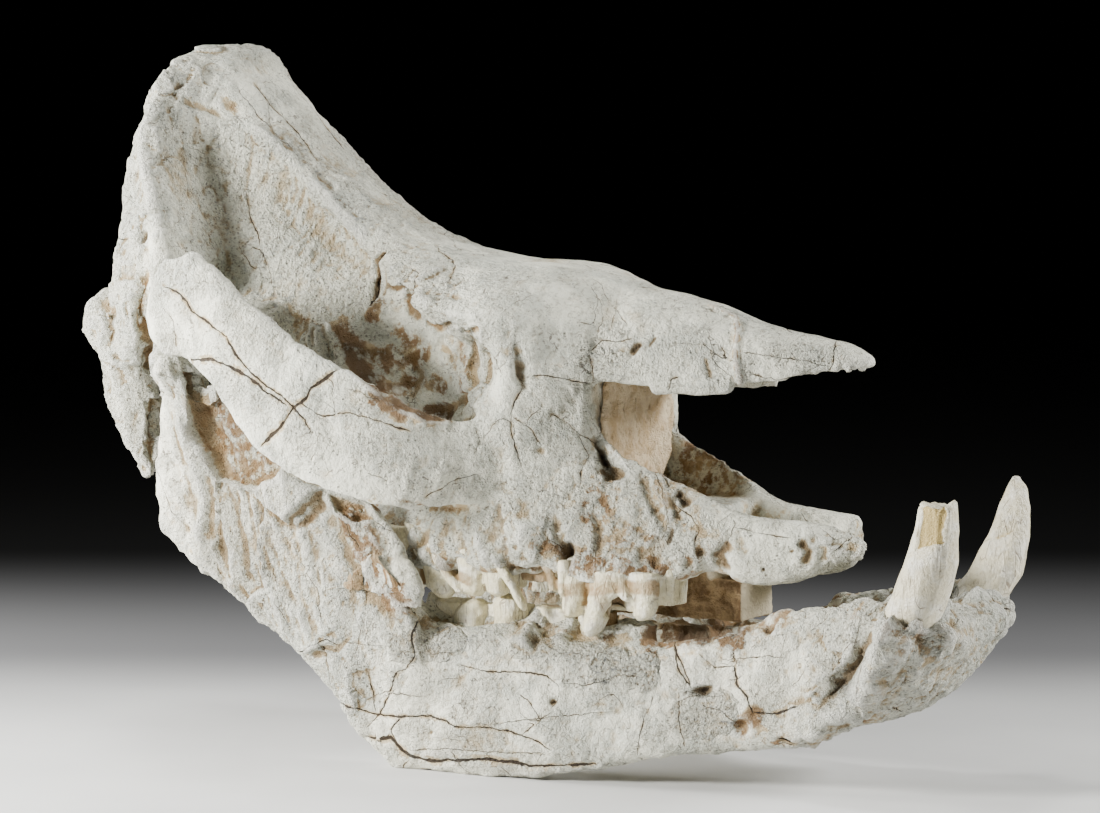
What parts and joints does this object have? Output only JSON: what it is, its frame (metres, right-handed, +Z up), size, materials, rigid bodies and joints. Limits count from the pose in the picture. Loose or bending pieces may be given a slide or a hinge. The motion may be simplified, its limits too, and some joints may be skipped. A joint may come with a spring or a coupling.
{
  "type": "fossil rhinoceros skull",
  "caption": "Fossil skull of a hornless rhinoceros with its lower jaw closed, long free nasal bones, wide cheek arches, worn cheek teeth and lower tusks, resting on the jaw.",
  "frame": {"origin": "middle of the bounding box's base, on the floor under the jaw", "axes": "+X to the snout, +Y to the animal's left, +Z up"},
  "size_m": [0.5986, 0.3024, 0.427],
  "materials": {
    "skull_bone": "matt, finely pitted fossil bone with brown cracks",
    "jaw_bone": "matt, finely pitted fossil bone with brown cracks",
    "tusk_enamel": "worn, faintly glossy tusk",
    "matrix": "rough, grainy sediment"
  },
  "bodies": {
    "root": {"braincase": "skull_bone", "occiput": "skull_bone", "frontals": "skull_bone", "nasals": "skull_bone", "maxilla_right": "skull_bone", "maxilla_left": "skull_bone", "premaxilla_right": "skull_bone", "premaxilla_left": "skull_bone", "zygomatic_arch_right": "skull_bone", "zygomatic_arch_left": "skull_bone", "mandible_ramus_right": "jaw_bone", "mandible_ramus_left": "jaw_bone", "mandible_body_right": "jaw_bone", "mandible_body_left": "jaw_bone", "mandible_symphysis": "jaw_bone", "tusk_right": "tusk_enamel", "tusk_left": "tusk_enamel", "nasal_matrix": "matrix", "mouth_matrix": "matrix"}
  },
  "joints": []
}
